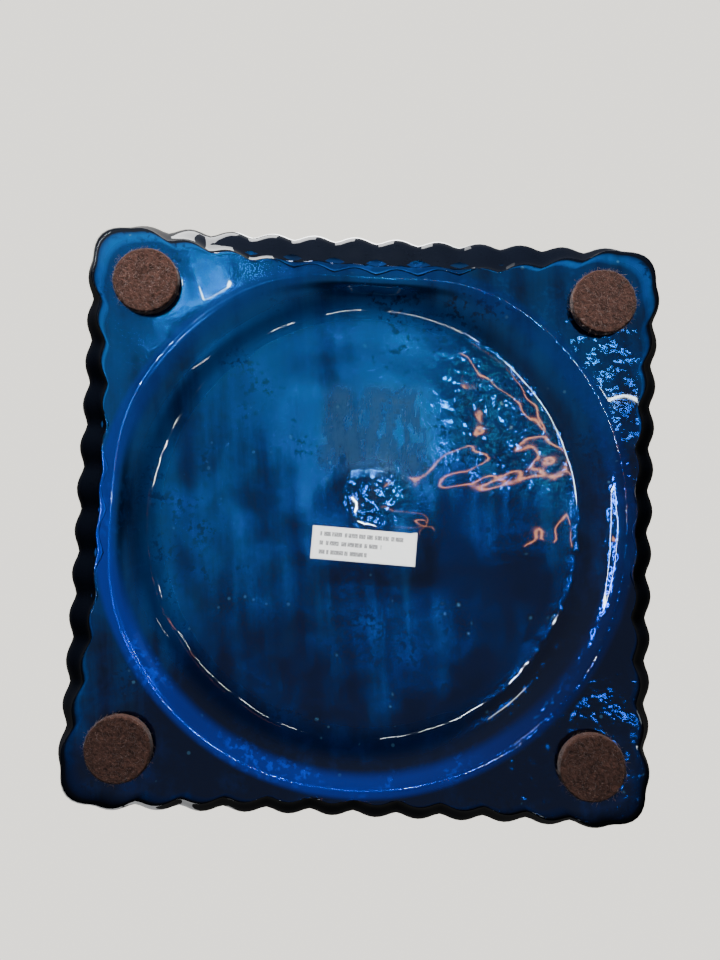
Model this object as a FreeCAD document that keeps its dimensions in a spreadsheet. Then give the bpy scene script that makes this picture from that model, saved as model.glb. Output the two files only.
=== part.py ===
"""Glass candlestick, in millimetres, +Z up.

A square foot with fluted sides, a round baluster stem and a round gadrooned dish are blown
as three hollow glasses. Each is silvered inside through its open neck. The stem ends in two
spigots that are cemented into the necks of the foot and of the dish. Four felt pads are stuck
under the corners of the foot, and a paper label inside its round kick-up.

The origin is on the centre line, level with the undersides of the felt pads.
"""
import FreeCAD, Part
import math
import os
import Sketcher

V = FreeCAD.Vector
UP = V(0, 0, 1)

SIZES = [
    # the foot, measured to the mean line of its fluted side
    ("foot_width", 176.3, "width of the foot across its flat sides, at the widest level"),
    ("foot_corner", 10.4, "radius of the foot's rounded corners"),
    ("flute_count", 12, "convex flutes along each side, between the corners"),
    ("flute_depth", 1.75, "height of a flute above the groove beside it"),
    ("foot_height", 68, "top of the foot's neck above its flat underside"),
    ("foot_wall_height", 26, "height of the upright fluted wall above the underside"),
    ("foot_bevel", 9.5, "height over which the underside rounds up into the wall"),
    ("side_pinch", 4, "how far the underside's edge draws in at the middle of a side"),
    ("recess_radius", 79, "radius of the round kick-up at the underside"),
    ("recess_lean", 11, "how far the kick-up's wall leans in, from the underside to its domed roof"),
    ("recess_step", 6.5, "rise from the underside to the edge of the domed roof"),
    ("recess_dome", 4, "further rise to the middle of the domed roof"),
    ("recess_crown", 6, "radius of the level middle of the domed roof"),
    # the glass and what is joined to it
    ("glass_wall", 3, "thickness of the blown glass"),
    ("silver_coat", 0.4, "thickness of the mirror film with its backing lacquer"),
    ("neck_radius", 16, "outside radius of the necks of the foot and of the dish"),
    ("spigot_length", 10, "depth of the stem's spigots in the necks"),
    ("cement_gap", 0.5, "thickness of the cement round and under the stem's spigots"),
    # the stem between the two necks
    ("stem_length", 170, "length of the stem between its two shoulders"),
    ("stem_waist", 9.5, "smallest outside radius of the stem"),
    ("knop_radius", 24, "radius of the large swirled knop"),
    ("bead_radius", 15, "radius of the plain swellings above and below the knop"),
    ("knop_ribs", 12, "swirled ribs round the knop"),
    ("knop_rib_depth", 1.4, "height of a rib on the knop"),
    ("knop_turn", 40, "turn of a rib on the knop, above and below its middle, in degrees"),
    # the dish
    ("dish_radius", 62, "outside radius of the dish"),
    ("dish_height", 58, "centre of the dish's rounded lip above the end of its neck"),
    ("lip_radius", 2.6, "half the thickness of the dish's wall at its lip"),
    ("lip_bead", 0.35, "how far the fire-polished bead on the lip stands proud of the wall"),
    ("seat_radius", 45, "radius of the flat candle seat"),
    ("seat_depth", 15, "depth of the candle seat below the centre of the lip"),
    ("gadroon_count", 20, "swirled gadroons under the dish"),
    ("gadroon_depth", 3, "height of a gadroon"),
    ("swirl_angle", 34, "turn of a gadroon from the neck to the lip, in degrees"),
    # pads and label
    ("pad_diameter", 19.4, "diameter of a felt pad"),
    ("pad_thickness", 3.5, "thickness of a felt pad"),
    ("pad_edge", 0.7, "rounding of a felt pad's lower edge"),
    ("pad_inset", 20, "distance of a pad's centre in from the foot's two sides"),
    ("glue_thickness", 0.2, "thickness of the adhesive on a pad"),
    ("glue_margin", 0.4, "distance of a pad's adhesive in from its edge"),
    ("label_length", 32.5, "length of the paper label"),
    ("label_width", 10.2, "width of the paper label"),
    ("label_paper", 0.14, "thickness of the label's paper"),
    ("label_glue", 0.08, "thickness of the label's adhesive"),
    ("label_offset", 7.8, "distance of the label's middle behind the centre line"),
    ("label_turn", 2.4, "turn of the label, in degrees"),
]

POINTS_PER_FLUTE = 5
POINTS_PER_CORNER = 5
POINTS_PER_RIB = 6

doc = FreeCAD.newDocument("glass_candlestick")
sheet = doc.addObject("Spreadsheet::Sheet", "sizes")
for row, (name, value, meaning) in enumerate(SIZES, start=1):
    sheet.set(f"A{row}", name)
    sheet.set(f"B{row}", str(value))
    sheet.setAlias(f"B{row}", name)
    sheet.set(f"C{row}", meaning)
doc.recompute()


class Sized:
    """A length that knows its present value and the expression that gives it."""

    def __init__(self, value, text):
        self.value = value
        self.text = text

    def __add__(self, other):
        return Sized(self.value + other.value, f"{self.text} + {other.text}")

    def __sub__(self, other):
        return Sized(self.value - other.value, f"{self.text} - ({other.text})")

    def __neg__(self):
        return Sized(-self.value, f"-({self.text})")

    def __truediv__(self, number):
        return Sized(self.value / number, f"({self.text}) / {number}")


def sized(name):
    """One driving dimension of the sheet, with its expression."""
    return Sized(size(name), f"sizes.{name}")


def size(name):
    """The value of one driving dimension of the sheet."""
    return float(getattr(sheet, name))


# ---------------------------------------------------------------- levels up the centre line
NONE = Sized(0.0, "0")
UNDERSIDE = size("pad_thickness") + size("glue_thickness")
FOOT_TOP = UNDERSIDE + size("foot_height")
STEM_BOTTOM = FOOT_TOP + size("cement_gap")
STEM_TOP = STEM_BOTTOM + size("stem_length")
DISH_BOTTOM = STEM_TOP + size("cement_gap")
LIP_CENTRE = DISH_BOTTOM + size("dish_height")
SEAT_LEVEL = LIP_CENTRE - size("seat_depth")
SPIGOT_RADIUS = size("neck_radius") - size("glass_wall") - size("cement_gap")


# ---------------------------------------------------------------- curves and lofts
def smooth(t):
    """An ease from 0 to 1 with level ends."""
    t = min(1.0, max(0.0, t))
    return t * t * (3 - 2 * t)


def flute(phase):
    """Height of a flute, 0 in the groove to 1 on the crest, with broad crests."""
    softness = 0.3
    wave = math.hypot(math.sin(math.pi * phase), softness)
    return (wave - softness) / (math.hypot(1, softness) - softness)


def normals(profile):
    """Unit normals of an outline of (radius, height) points, pointing out of the glass."""
    result = []
    for i in range(len(profile)):
        before = profile[max(0, i - 1)]
        after = profile[min(len(profile) - 1, i + 1)]
        run = after[0] - before[0]
        rise = after[1] - before[1]
        length = math.hypot(run, rise)
        result.append((rise / length, -run / length))
    return result


def closed_wire(points):
    """One smooth closed edge through the points."""
    curve = Part.BSplineCurve()
    curve.interpolate(Points=points, PeriodicFlag=True)
    return Part.Wire([curve.toShape()])


def loft(wires):
    """A smooth solid through the wires."""
    solid = Part.makeLoft(wires, True, False)
    if solid.Volume < 0:
        solid.reverse()
    return solid


def turned(outline):
    """A solid of revolution from a closed outline of edges in the XZ plane."""
    face = Part.Face(Part.Wire(Part.__sortEdges__(outline)))
    solid = face.revolve(V(0, 0, 0), UP, 360)
    if solid.Volume < 0:
        solid.reverse()
    return solid


def polyline(points):
    """Straight edges through (radius, height) points."""
    places = [V(r, 0, z) for r, z in points]
    return [Part.LineSegment(a, b).toShape() for a, b in zip(places, places[1:])]


def spline(points):
    """One smooth open edge through (radius, height) points."""
    curve = Part.BSplineCurve()
    curve.interpolate([V(r, 0, z) for r, z in points])
    return curve.toShape()


# ---------------------------------------------------------------- the square foot
def side_stations(half_width, corner, points_per_flute):
    """Points of a rounded square, with the outward normal and the flute height at each.

    A station is (x, y, normal x, normal y, flute height, share along the half side).
    """
    count = int(size("flute_count"))
    straight = 2 * (half_width - corner)
    stations = []
    steps = count * points_per_flute
    for quarter in range(4):
        turn = quarter * math.pi / 2
        cos_t = math.cos(turn)
        sin_t = math.sin(turn)
        local = []
        for i in range(steps):
            share = i / steps
            height = flute(share * count)
            along = (share - 0.5) * straight
            local.append((half_width, along, 1.0, 0.0, height, along / (straight / 2)))
        for i in range(POINTS_PER_CORNER):
            bend = i / POINTS_PER_CORNER * math.pi / 2
            height = 0.4 * math.sin(2 * bend) ** 2
            nx = math.cos(bend)
            ny = math.sin(bend)
            middle = half_width - corner
            local.append((middle + corner * nx, middle + corner * ny, nx, ny, height, 1.0))
        for x, y, nx, ny, height, share in local:
            stations.append((
                x * cos_t - y * sin_t,
                x * sin_t + y * cos_t,
                nx * cos_t - ny * sin_t,
                nx * sin_t + ny * cos_t,
                height,
                share,
            ))
    return stations


def foot_section(half_width, level, roundness, fluting, pinch):
    """One level of the foot: a fluted rounded square that turns into a circle."""
    corner = size("foot_corner") * half_width / (size("foot_width") / 2)
    depth = size("flute_depth")
    points_per_flute = POINTS_PER_FLUTE if fluting else 1
    points = []
    for x, y, nx, ny, height, share in side_stations(half_width, corner, points_per_flute):
        out = depth * fluting * (height - 0.5) - pinch * (1 - share * share)
        square_x = x + nx * out
        square_y = y + ny * out
        angle = math.atan2(y, x)
        round_x = half_width * math.cos(angle)
        round_y = half_width * math.sin(angle)
        points.append(V(
            square_x + (round_x - square_x) * roundness,
            square_y + (round_y - square_y) * roundness,
            level,
        ))
    return closed_wire(points)


def foot_profile():
    """Levels of the foot, bottom to top: (half width, level, roundness, fluting, pinch)."""
    half = size("foot_width") / 2
    bevel = size("foot_bevel")
    wall_top = UNDERSIDE + size("foot_wall_height")
    neck = size("neck_radius")
    rise = FOOT_TOP - wall_top
    pinch = size("side_pinch")
    levels = []
    for share, draw_in in ((0.0, 2.5), (0.10, 1.7), (0.30, 0.9), (0.60, 0.3), (1.0, 0.0)):
        level = UNDERSIDE + share * bevel
        levels.append((half - draw_in, level, 0.0, 1.0, pinch * (1 - smooth(share))))
    middle = (UNDERSIDE + bevel + wall_top) / 2
    levels.append((half, middle, 0.0, 1.0, 0.0))
    levels.append((half - 0.6, wall_top, 0.0, 1.0, 0.0))
    shoulder = (
        (0.12, 0.94, 0.04, 0.9),
        (0.20, 0.80, 0.16, 0.7),
        (0.28, 0.60, 0.38, 0.45),
        (0.38, 0.40, 0.66, 0.2),
        (0.50, 0.24, 0.88, 0.06),
        (0.64, 0.11, 1.0, 0.0),
        (0.80, 0.03, 1.0, 0.0),
        (1.00, 0.00, 1.0, 0.0),
    )
    for height_share, width_share, roundness, fluting in shoulder:
        radius = neck + (half - neck) * width_share
        levels.append((radius, wall_top + rise * height_share, roundness, fluting, 0.0))
    return levels


def foot_inside(depth):
    """The foot's plain inside, as a solid, drawn in from its outer surface by depth."""
    profile = foot_profile()
    outline = [(level[0], level[1]) for level in profile]
    floor = UNDERSIDE + depth
    wires = []
    last = floor
    for level, normal in zip(profile[:-1], normals(outline)):
        radius, height, roundness, fluting, pinch = level
        inner = radius - depth * normal[0]
        inner_height = height - depth * normal[1]
        if inner_height > last + 1.0:
            if not wires:
                wires.append(foot_section(inner - 1.0, floor, roundness, 0.0, pinch))
            wires.append(foot_section(inner, inner_height, roundness, 0.0, pinch))
            last = inner_height
    bore = size("neck_radius") - depth
    for height in (FOOT_TOP - 1.0, FOOT_TOP + 5.0):
        wires.append(foot_section(bore, height, 1.0, 0.0, 0.0))
    return loft(wires)


def recess(depth):
    """The kick-up under the foot, as a solid, grown by depth into the glass."""
    radius = size("recess_radius")
    floor = radius - size("recess_lean")
    step = size("recess_step")
    dome = size("recess_dome")
    crown = size("recess_crown")
    wall = [(radius + 0.6, 0.0), (radius - 0.4, 0.5)]
    for share in (0.3, 0.55, 0.8):
        wall.append((radius + (floor - radius) * share, step * smooth(share * 0.9 + 0.08)))
    wall.append((floor, step))
    for share in (0.2, 0.5, 0.8):
        wall.append((floor + (crown - floor) * share, step + dome * (1 - (1 - share) ** 2)))
    wall.append((crown, step + dome))
    grown = []
    for point, normal in zip(wall, normals(wall)):
        grown.append((point[0] + depth * normal[0], UNDERSIDE + point[1] + depth * normal[1]))
    top = UNDERSIDE + step + dome + depth
    grown[0] = (wall[0][0] + depth, UNDERSIDE)
    grown[-1] = (crown, top)
    below = UNDERSIDE - 5
    edges = polyline([grown[-1], (0.0, top), (0.0, below), (grown[0][0], below), grown[0]])
    edges.append(spline(grown))
    return turned(edges)


def foot_cavity(depth):
    """The hollow of the foot between its wall and the roof of the kick-up."""
    return foot_inside(depth).cut(recess(depth))


# ---------------------------------------------------------------- the round dish and the stem
def ribbed_section(radius, level, ribs, depth, turn):
    """One level of a round wall with ribs that swirl: turn is in degrees."""
    count = int(ribs) * POINTS_PER_RIB
    points = []
    for i in range(count):
        share = i / count
        angle = share * 2 * math.pi + math.radians(turn)
        out = radius + depth * (flute(share * ribs) - 0.5)
        points.append(V(out * math.cos(angle), out * math.sin(angle), level))
    return closed_wire(points)


def ribbed_solid(levels, ribs):
    """A round solid through levels of (radius, level, rib depth, turn)."""
    wires = []
    for radius, level, depth, turn in levels:
        wires.append(ribbed_section(radius, level, ribs, depth, turn))
    return loft(wires)


def dish_profile():
    """Levels under the dish, neck to lip: (radius, level, gadroon depth, turn)."""
    neck = size("neck_radius")
    rim = size("dish_radius")
    height = size("dish_height")
    depth = size("gadroon_depth")
    swirl = size("swirl_angle")
    shape = (
        (0.00, 0.00, 0.0),
        (0.12, 0.00, 0.0),
        (0.22, 0.05, 0.15),
        (0.31, 0.20, 0.6),
        (0.40, 0.42, 0.95),
        (0.50, 0.64, 1.0),
        (0.62, 0.82, 0.75),
        (0.74, 0.92, 0.15),
        (0.86, 0.97, 0.0),
        (1.00, 1.00, 0.0),
    )
    levels = []
    for height_share, width_share, ribbing in shape:
        radius = neck + (rim - neck) * width_share
        level = DISH_BOTTOM + height * height_share
        levels.append((radius, level, depth * ribbing, swirl * width_share))
    return levels


def bowl(depth):
    """The open bowl of the dish, as a solid, grown by depth into the glass."""
    seat = size("seat_radius")
    mouth = size("dish_radius") - 2 * size("lip_radius") + depth
    drop = size("seat_depth")
    slope = mouth - seat
    floor = SEAT_LEVEL - depth
    above = LIP_CENTRE + 20
    side = [
        (mouth, LIP_CENTRE + 2),
        (mouth - slope * 0.10, LIP_CENTRE - drop * 0.35),
        (mouth - slope * 0.45, LIP_CENTRE - drop * 0.80 - depth * 0.7),
        (seat, floor),
    ]
    edges = polyline([side[-1], (0.0, floor), (0.0, above), (mouth, above), side[0]])
    edges.append(spline(side))
    return turned(edges)


def dish_inside(depth):
    """The dish's plain inside, as a solid, drawn in from its lower surface by depth."""
    profile = [(level[0], level[1]) for level in dish_profile()]
    bore = size("neck_radius") - depth
    bore_end = DISH_BOTTOM + size("spigot_length") + 1
    inner = [(bore, bore_end)]
    for point, normal in zip(profile, normals(profile)):
        if point[1] > bore_end + 2:
            inner.append((point[0] - depth * normal[0], point[1] - depth * normal[1]))
    inner[-1] = (profile[-1][0] - depth, LIP_CENTRE)
    below = DISH_BOTTOM - size("spigot_length")
    edges = polyline([inner[-1], (0.0, LIP_CENTRE), (0.0, below), (bore, below), inner[0]])
    edges.append(spline(inner))
    return turned(edges)


def dish_cavity(depth):
    """The hollow of the dish between its lower wall and its bowl."""
    return dish_inside(depth).cut(bowl(depth))


def stem_profile():
    """Points of the stem's round outline, bottom to top: (radius, level).

    The upper half mirrors the lower. The outline runs straight through the swirled knop.
    """
    shoulder = size("neck_radius")
    waist = size("stem_waist")
    bead = size("bead_radius")
    collar = waist + 3.5
    half = (
        (0.000, shoulder),
        (0.022, shoulder - 0.6),
        (0.050, waist + 1.8),
        (0.085, waist),
        (0.125, waist + 1.4),
        (0.162, bead - 0.5),
        (0.195, bead),
        (0.230, bead - 1.6),
        (0.275, waist + 1.0),
        (0.315, waist),
        (0.345, waist + 1.2),
        (0.365, collar),
        (0.385, collar - 0.4),
        (0.425, waist + 1.5),
    )
    points = []
    for share, radius in half:
        points.append((radius, STEM_BOTTOM + size("stem_length") * share))
    for share, radius in reversed(half):
        points.append((radius, STEM_TOP - size("stem_length") * share))
    return points


def knop_profile():
    """Levels of the swirled knop: (radius, level, rib depth, turn)."""
    waist = size("stem_waist")
    swell = size("knop_radius") - waist
    shape = (
        (0.375, 0.16, 0.10),
        (0.405, 0.50, 0.60),
        (0.445, 0.87, 1.00),
        (0.500, 1.00, 1.00),
        (0.555, 0.87, 1.00),
        (0.595, 0.50, 0.60),
        (0.625, 0.16, 0.10),
    )
    levels = []
    for share, width, ribbing in shape:
        level = STEM_BOTTOM + size("stem_length") * share
        turn = size("knop_turn") * (share - 0.5) / 0.25
        levels.append((waist + swell * width, level, size("knop_rib_depth") * ribbing, turn))
    return levels


def stem_bore(depth):
    """The hollow of the stem, which follows the outside and opens at both spigots."""
    bore = SPIGOT_RADIUS - depth
    inner = [(radius - depth, level) for radius, level in stem_profile()]
    inner[0] = (bore, STEM_BOTTOM)
    inner[-1] = (bore, STEM_TOP)
    bottom = STEM_BOTTOM - size("spigot_length") - 1
    top = STEM_TOP + size("spigot_length") + 1
    edges = polyline([inner[-1], (bore, top), (0.0, top), (0.0, bottom), (bore, bottom), inner[0]])
    edges.append(spline(inner))
    return turned(edges)


# ---------------------------------------------------------------- whole glasses
def slab(low, high):
    """A block far wider than the object, between two levels."""
    reach = size("foot_width")
    return Part.makeBox(2 * reach, 2 * reach, high - low, V(-reach, -reach, low))


def foot_glass():
    wires = [foot_section(*level) for level in foot_profile()]
    outside = loft(wires).cut(recess(0.0))
    return outside.cut(foot_cavity(size("glass_wall")))


def foot_silvering():
    wall = size("glass_wall")
    top = FOOT_TOP - size("spigot_length") - 1
    coat = foot_cavity(wall).common(slab(UNDERSIDE, top))
    return coat.cut(foot_cavity(wall + size("silver_coat")))


def stem_glass():
    length = size("spigot_length")
    outline = stem_profile()
    edges = polyline([outline[-1], (0.0, STEM_TOP), (0.0, STEM_BOTTOM), outline[0]])
    edges.append(spline(outline))
    knop = ribbed_solid(knop_profile(), size("knop_ribs"))
    lower = Part.makeCylinder(SPIGOT_RADIUS, length + 1, V(0, 0, STEM_BOTTOM - length))
    upper = Part.makeCylinder(SPIGOT_RADIUS, length + 1, V(0, 0, STEM_TOP - 1))
    return turned(edges).fuse([knop, lower, upper]).cut(stem_bore(size("glass_wall")))


def stem_silvering():
    wall = size("glass_wall")
    coat = stem_bore(wall).common(slab(STEM_BOTTOM, STEM_TOP))
    return coat.cut(stem_bore(wall + size("silver_coat")))


def dish_glass():
    outside = ribbed_solid(dish_profile(), size("gadroon_count"))
    outside = outside.cut(bowl(0.0)).cut(dish_cavity(size("glass_wall")))
    ring = size("dish_radius") - size("lip_radius")
    lip = Part.makeTorus(ring, size("lip_radius") + size("lip_bead"), V(0, 0, LIP_CENTRE))
    return outside.fuse(lip)


def dish_silvering():
    wall = size("glass_wall")
    bottom = DISH_BOTTOM + size("spigot_length") + 1
    coat = dish_cavity(wall).common(slab(bottom, LIP_CENTRE))
    return coat.cut(dish_cavity(wall + size("silver_coat")))


def add_glass(label, shape):
    """A sub-part whose lobed or swirled wall no sketch feature makes."""
    piece = doc.addObject("Part::Feature", label)
    piece.Label = label
    piece.Shape = shape
    piece.Placement = FreeCAD.Placement()
    return piece


# ---------------------------------------------------------------- sketched sub-parts
def origin_plane(body, role):
    return next(item for item in body.Origin.OriginFeatures if item.Role == role)


def bind(item, target, length):
    """Ties a property or constraint to the expression of a length."""
    item.setExpression(target, length.text)


def bound_sketch(body, name, role, corners):
    """A closed sketch of straight lines whose corners follow the sheet."""
    sketch = body.newObject("Sketcher::SketchObject", name)
    sketch.AttachmentSupport = [(origin_plane(body, role), "")]
    sketch.MapMode = "FlatFace"
    count = len(corners)
    places = [V(x.value, y.value, 0) for x, y in corners]
    for i in range(count):
        sketch.addGeometry(Part.LineSegment(places[i], places[(i + 1) % count]), False)
    for i in range(count):
        sketch.addConstraint(Sketcher.Constraint("Coincident", i, 2, (i + 1) % count, 1))
    for i, (x, y) in enumerate(corners):
        for kind, length in (("DistanceX", x), ("DistanceY", y)):
            made = sketch.addConstraint(Sketcher.Constraint(kind, -1, 1, i, 1, length.value))
            bind(sketch, f"Constraints[{made}]", length)
    return sketch


def circle_sketch(body, name, radius):
    """A circle round the body's own origin, on its XY plane."""
    sketch = body.newObject("Sketcher::SketchObject", name)
    sketch.AttachmentSupport = [(origin_plane(body, "XY_Plane"), "")]
    sketch.MapMode = "FlatFace"
    sketch.addGeometry(Part.Circle(V(0, 0, 0), UP, radius.value), False)
    sketch.addConstraint(Sketcher.Constraint("Coincident", 0, 3, -1, 1))
    made = sketch.addConstraint(Sketcher.Constraint("Radius", 0, radius.value))
    bind(sketch, f"Constraints[{made}]", radius)
    return sketch


def new_body(label):
    body = doc.addObject("PartDesign::Body", label)
    body.Label = label
    return body


def pad_up(body, sketch, height):
    """The sketch raised by a height along +Z."""
    raised = body.newObject("PartDesign::Pad", body.Label + "_pad")
    raised.Profile = sketch
    bind(raised, "Length", height)
    return raised


def turned_body(label, corners):
    """A body turned about the centre line from corners of (radius, height)."""
    body = new_body(label)
    sketch = bound_sketch(body, label + "_outline", "XZ_Plane", corners)
    turn = body.newObject("PartDesign::Revolution", label + "_turn")
    turn.Profile = sketch
    turn.ReferenceAxis = (sketch, ["V_Axis"])
    turn.Angle = 360
    return body


def cement_ring(label, neck_end, shoulder, spigot_end):
    """Cement between a spigot and its neck, and between the neck's end and the shoulder."""
    neck = sized("neck_radius")
    bore = neck - sized("glass_wall")
    spigot = bore - sized("cement_gap")
    return turned_body(label, [
        (spigot, spigot_end),
        (bore, spigot_end),
        (bore, neck_end),
        (neck, neck_end),
        (neck, shoulder),
        (spigot, shoulder),
    ])


def place(piece, x, y, z):
    """Puts a sub-part's own origin at a place that follows the sheet."""
    for axis, length in (("x", x), ("y", y), ("z", z)):
        bind(piece, f"Placement.Base.{axis}", length)


def felt_pad(label, x, y):
    """A round felt pad with its lower edge rounded, standing on the level z = 0."""
    body = new_body(label)
    sketch = circle_sketch(body, label + "_circle", sized("pad_diameter") / 2)
    raised = pad_up(body, sketch, sized("pad_thickness"))
    doc.recompute()
    lowest = [
        f"Edge{i}" for i, edge in enumerate(raised.Shape.Edges, start=1)
        if edge.BoundBox.ZMax < size("pad_thickness") / 2
    ]
    rounding = body.newObject("PartDesign::Fillet", label + "_edge")
    rounding.Base = (raised, lowest)
    bind(rounding, "Radius", sized("pad_edge"))
    place(body, x, y, NONE)
    return body


def pad_adhesive(label, x, y):
    """The disc of adhesive between a pad and the underside of the foot."""
    body = new_body(label)
    radius = sized("pad_diameter") / 2 - sized("glue_margin")
    pad_up(body, circle_sketch(body, label + "_circle", radius), sized("glue_thickness"))
    place(body, x, y, sized("pad_thickness"))
    return body


# ---------------------------------------------------------------- the label
def label_layer(name, start, thickness):
    """A rectangle of the label that lies along the kick-up's roof, start below the glass.

    The rectangle is cut out of a thin layer of the recess's own shape.
    """
    outer = doc.addObject("Part::Feature", name + "_upper")
    outer.Shape = recess(-start)
    inner = doc.addObject("Part::Feature", name + "_lower")
    inner.Shape = recess(-start - thickness)
    layer = doc.addObject("Part::Cut", name + "_layer")
    layer.Base = outer
    layer.Tool = inner
    block = doc.addObject("Part::Box", name + "_block")
    bind(block, "Length", sized("label_length"))
    bind(block, "Width", sized("label_width"))
    bind(block, "Height", sized("recess_step") + sized("recess_dome") + sized("pad_thickness"))
    turn = FreeCAD.Rotation(UP, size("label_turn"))
    corner = turn.multVec(V(-size("label_length") / 2, -size("label_width") / 2, 0))
    block.Placement = FreeCAD.Placement(V(0, size("label_offset"), UNDERSIDE) + corner, turn)
    piece = doc.addObject("Part::Common", name)
    piece.Label = name
    piece.Base = layer
    piece.Tool = block
    return piece


# ---------------------------------------------------------------- the assembly
pieces = [
    add_glass("foot_glass", foot_glass()),
    add_glass("foot_silvering", foot_silvering()),
    add_glass("stem_glass", stem_glass()),
    add_glass("stem_silvering", stem_silvering()),
    add_glass("dish_glass", dish_glass()),
    add_glass("dish_silvering", dish_silvering()),
]

underside = sized("pad_thickness") + sized("glue_thickness")
foot_top = underside + sized("foot_height")
stem_bottom = foot_top + sized("cement_gap")
stem_top = stem_bottom + sized("stem_length")
dish_bottom = stem_top + sized("cement_gap")
depth = sized("spigot_length") - sized("cement_gap")
pieces.append(cement_ring("foot_cement", foot_top, stem_bottom, foot_top - depth))
pieces.append(cement_ring("dish_cement", dish_bottom, stem_top, dish_bottom + depth))

across = sized("foot_width") / 2 - sized("pad_inset")
for corner_name, x, y in (
    ("front_left", -across, -across),
    ("front_right", across, -across),
    ("back_left", -across, across),
    ("back_right", across, across),
):
    pieces.append(felt_pad("felt_pad_" + corner_name, x, y))
    pieces.append(pad_adhesive("pad_adhesive_" + corner_name, x, y))

pieces.append(label_layer("label_adhesive", 0.0, size("label_glue")))
pieces.append(label_layer("label_paper", size("label_glue"), size("label_paper")))
doc.recompute()

# ---------------------------------------------------------------- checks and export
for item in doc.Objects:
    if "Invalid" in item.State or "Error" in item.State:
        raise RuntimeError(f"{item.Name} failed: {item.State}")

for piece in pieces:
    shape = piece.Shape
    if shape.isNull() or not shape.isValid():
        raise RuntimeError(f"{piece.Label} has no valid shape")
    if len(shape.Solids) != 1:
        raise RuntimeError(f"{piece.Label} is {len(shape.Solids)} solids")
    if shape.Volume <= 0:
        raise RuntimeError(f"{piece.Label} is inside out")

os.makedirs("parts", exist_ok=True)
for piece in pieces:
    piece.Shape.exportStep(f"parts/{piece.Label}.step")
    print(f"{piece.Label}: {piece.Shape.Volume:.1f} mm3")
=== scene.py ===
"""Looks for a silvered cobalt-glass candlestick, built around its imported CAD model.

Lengths are in metres, in the CAD model's own frame: +Z up, origin on the centre line, level
with the undersides of the felt pads.
"""
import math
import random
from typing import NamedTuple

import bmesh
import bpy
from bpy.props import FloatProperty, FloatVectorProperty, IntProperty, PointerProperty
from mathutils import Matrix, Vector, noise


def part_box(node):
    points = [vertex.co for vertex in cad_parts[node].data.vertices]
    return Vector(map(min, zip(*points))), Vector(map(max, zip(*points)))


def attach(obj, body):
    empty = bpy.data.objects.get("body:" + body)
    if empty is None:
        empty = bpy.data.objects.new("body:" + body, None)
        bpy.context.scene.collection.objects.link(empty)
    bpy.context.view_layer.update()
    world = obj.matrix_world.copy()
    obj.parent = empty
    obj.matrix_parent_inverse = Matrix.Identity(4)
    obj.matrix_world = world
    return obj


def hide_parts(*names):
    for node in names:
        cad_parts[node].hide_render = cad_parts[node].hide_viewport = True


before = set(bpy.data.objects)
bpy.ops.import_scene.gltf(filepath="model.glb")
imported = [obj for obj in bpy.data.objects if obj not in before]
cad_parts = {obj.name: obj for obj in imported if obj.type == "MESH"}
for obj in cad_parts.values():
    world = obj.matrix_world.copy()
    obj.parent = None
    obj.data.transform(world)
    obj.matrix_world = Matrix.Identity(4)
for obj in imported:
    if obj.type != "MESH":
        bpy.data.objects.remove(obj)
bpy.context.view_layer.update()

bl_info = {
    "name": "Silvered glass candlestick",
    "version": (1, 0, 0),
    "blender": (4, 5, 0),
    "location": "3D View > Sidebar > Candlestick",
    "description": "Blown and silvered glass, felt pads, a paper label and a plain stage",
    "category": "Add Mesh",
}

CORNERS = ("front_left", "front_right", "back_left", "back_right")
MM = 0.001

# Levels and widths that the CAD nodes give.
FOOT_LOW, FOOT_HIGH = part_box("foot_glass")
STEM_LOW, STEM_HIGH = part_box("stem_glass")
DISH_LOW, DISH_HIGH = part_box("dish_glass")
_, CEMENT_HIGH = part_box("foot_cement")
TOP_CEMENT_LOW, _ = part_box("dish_cement")
LABEL_LOW, LABEL_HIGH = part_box("label_paper")
UNDERSIDE = FOOT_LOW.z
NECK = CEMENT_HIGH.x

PADS = {corner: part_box("felt_pad_" + corner) for corner in CORNERS}

# The label, and its turn in the plane of the foot.
LABEL_LENGTH = 32.5 * MM
LABEL_WIDTH = 10.2 * MM
LABEL_THICKNESS = 0.14 * MM
LABEL_GLUE = 0.08 * MM
LABEL_TURN = math.radians(2.4)

# The foot's lower edge: a rounded corner, a pinched bevel, then a wall with a little taper.
EDGE_ROUNDING = 2.5 * MM
EDGE_PINCH = 4.0 * MM
BEVEL_HEIGHT = 9.5 * MM
WALL_HEIGHT = 26.0 * MM
WALL_TAPER = 0.6 * MM
HOLLOW_MARGIN = 4.5 * MM

# For the right, back, left and front side: how many times EDGE_PINCH the middle of its lower
# edge is drawn in, and the share of its radius that the kick-up's rim is drawn in beside it.
EDGE_PULLS = (1.5, 1.15, 2.1, 2.7)
RIM_PULLS = (0.022, 0.010, 0.048, 0.078)
TUCK_FROM = 66 * MM
TUCK_REACH = 13 * MM

# The kick-up's rounded rim and its even crown.
RIM_ROUNDING = 0.6 * MM
CROWN = 6 * MM

# The joints: broken edges of the cut glass, the spigots' play, and the bore that they fill.
CUT_EDGE = 0.4 * MM
SPIGOT_PLAY = 0.5 * MM
BORE_DEPTH = 12 * MM
FILM_THICKNESS = 0.4 * MM

# Places on the underside, in metres: the old sticker's patch, the pontil scar and a shoulder.
STICKER = (0.002, -0.028)
SCAR = (0.002, -0.009)
SHOULDER = (0.052, -0.040)


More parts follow.
